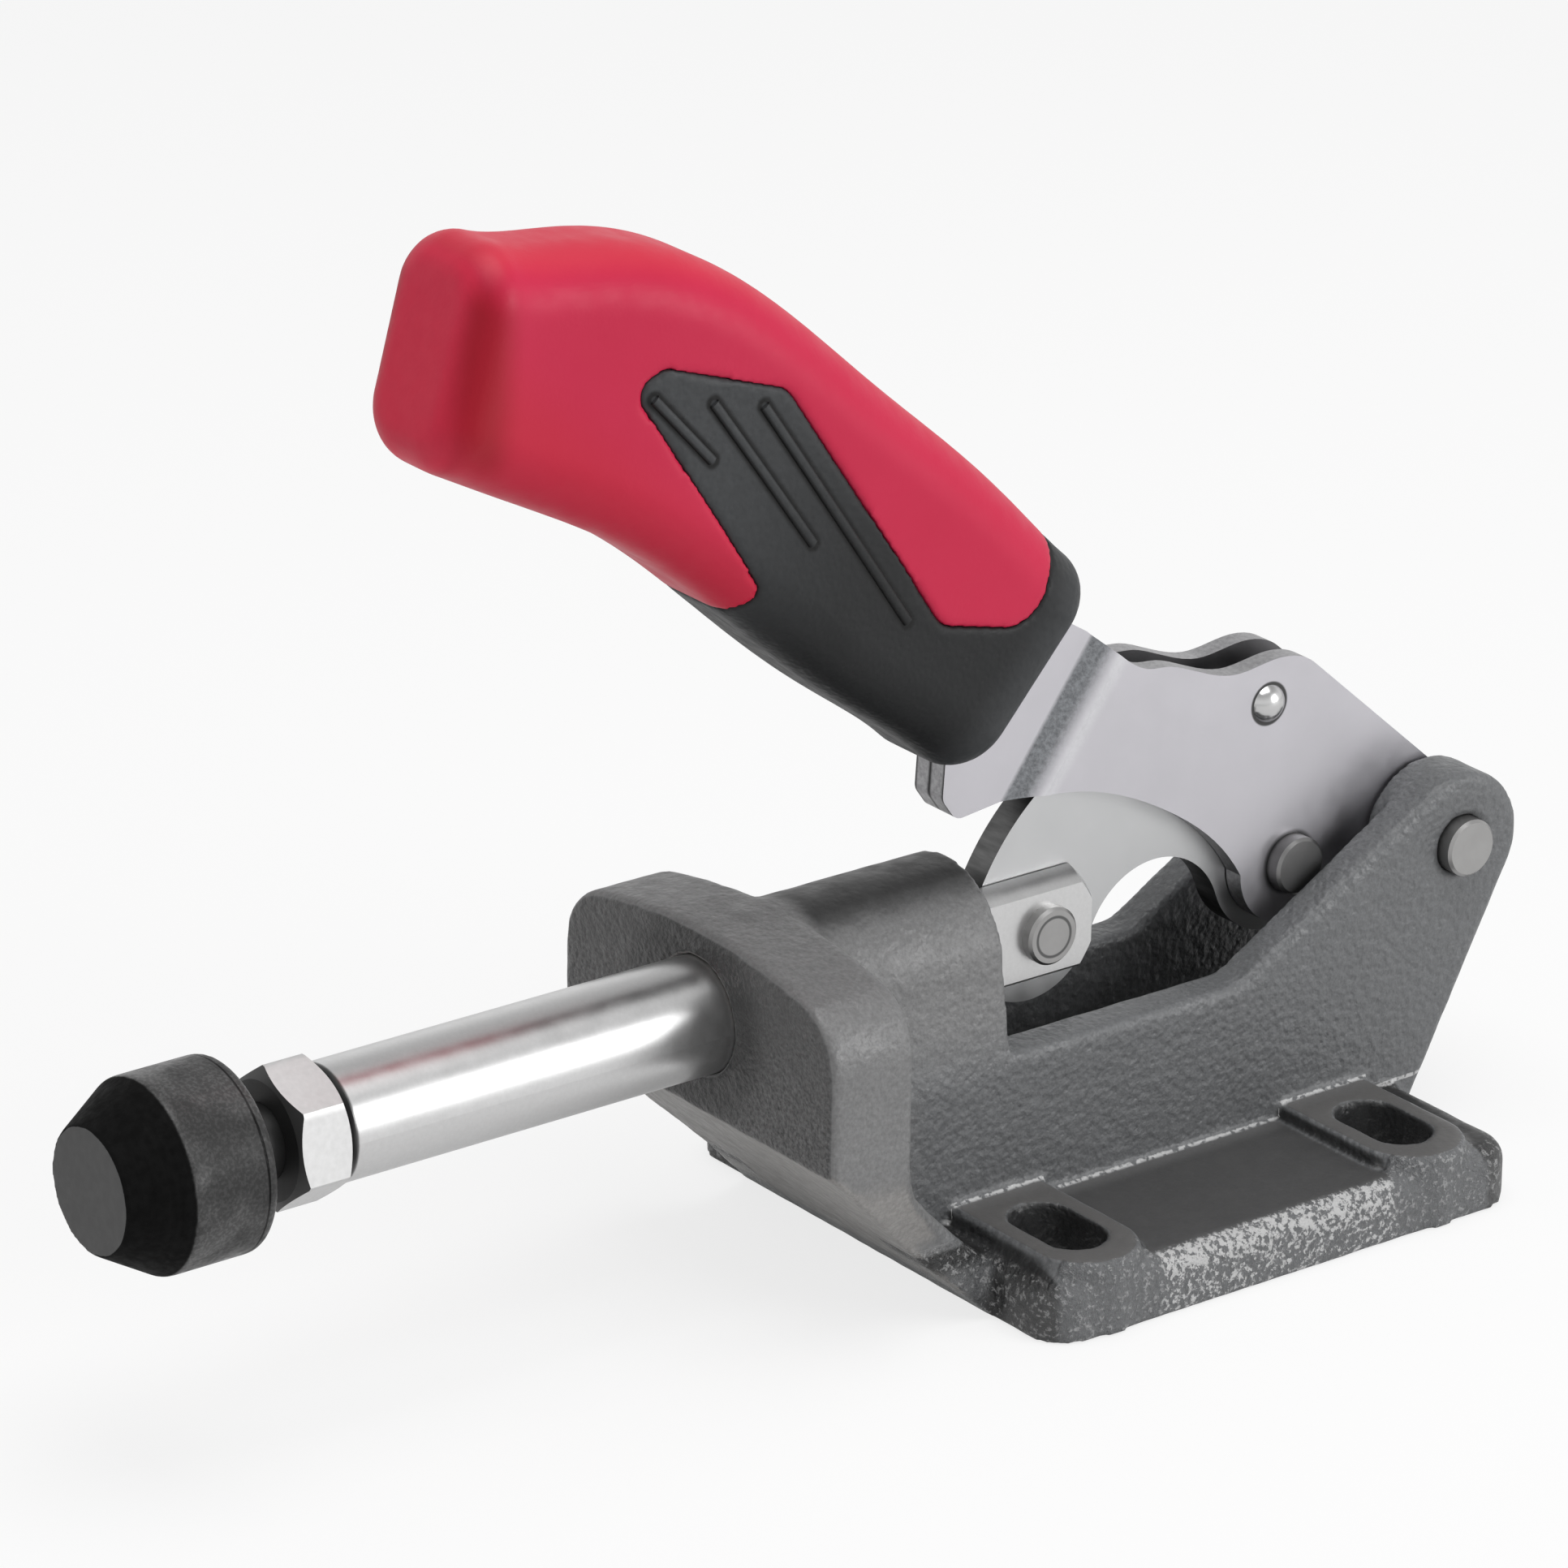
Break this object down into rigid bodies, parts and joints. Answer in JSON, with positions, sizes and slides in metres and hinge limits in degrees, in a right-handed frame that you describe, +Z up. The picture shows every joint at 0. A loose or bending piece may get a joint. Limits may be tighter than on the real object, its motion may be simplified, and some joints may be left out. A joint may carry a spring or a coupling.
{
  "type": "push-pull toggle clamp",
  "caption": "Push-pull toggle clamp with a cast flanged base, round plunger, C-shaped link, two-plate hand lever, two-colour grip and rubber-capped spindle.",
  "frame": {"origin": "centre of the four mounting slots on the underside of the base", "axes": "+Z up from the mounting face, plunger pushes along -Y, X across the clamp"},
  "size_m": [0.0808, 0.2238, 0.1543],
  "materials": {
    "casting_paint": "hammered grey paint",
    "zinc": "zinc plated",
    "steel": "plain steel",
    "chrome": "satin chrome",
    "grip_red": "satin",
    "grip_black": "fine texture",
    "rubber": "matte"
  },
  "bodies": {
    "base": {"base_casting": "casting_paint", "pivot_pin": "zinc"},
    "lever": {"lever_plate_left": "zinc", "lever_plate_right": "zinc", "pivot_bush": "steel", "link_pin": "zinc", "stop_rivet": "steel", "grip_shell": "grip_red", "grip_core": "grip_black"},
    "link": {"toggle_link": "steel"},
    "plunger": {"plunger_rod": "chrome", "clevis_studs": "zinc", "lock_nut": "zinc", "clamping_bolt": "steel", "rubber_cap": "rubber"}
  },
  "joints": [
    {"name": "lever_pivot", "type": "hinge", "parent": "base", "child": "lever", "pos_m": [0, 0.0524, 0.0412], "axis": [-1, 0, 0], "range_deg": [0, 145]},
    {"name": "link_pivot", "type": "hinge", "parent": "lever", "child": "link", "pos_m": [0, 0.0291, 0.0412], "axis": [1, 0, 0], "range_deg": [0, 163.4]},
    {"name": "plunger_slide", "type": "slide", "parent": "base", "child": "plunger", "axis": [0, 1, 0], "range_m": [0, 0.0446]}
  ],
  "couplings": [
    {"joint": "link_pivot", "follows": "lever_pivot", "ratio": 1.1261},
    {"joint": "plunger_slide", "follows": "lever_pivot", "m_per_rad": 0.017598}
  ]
}
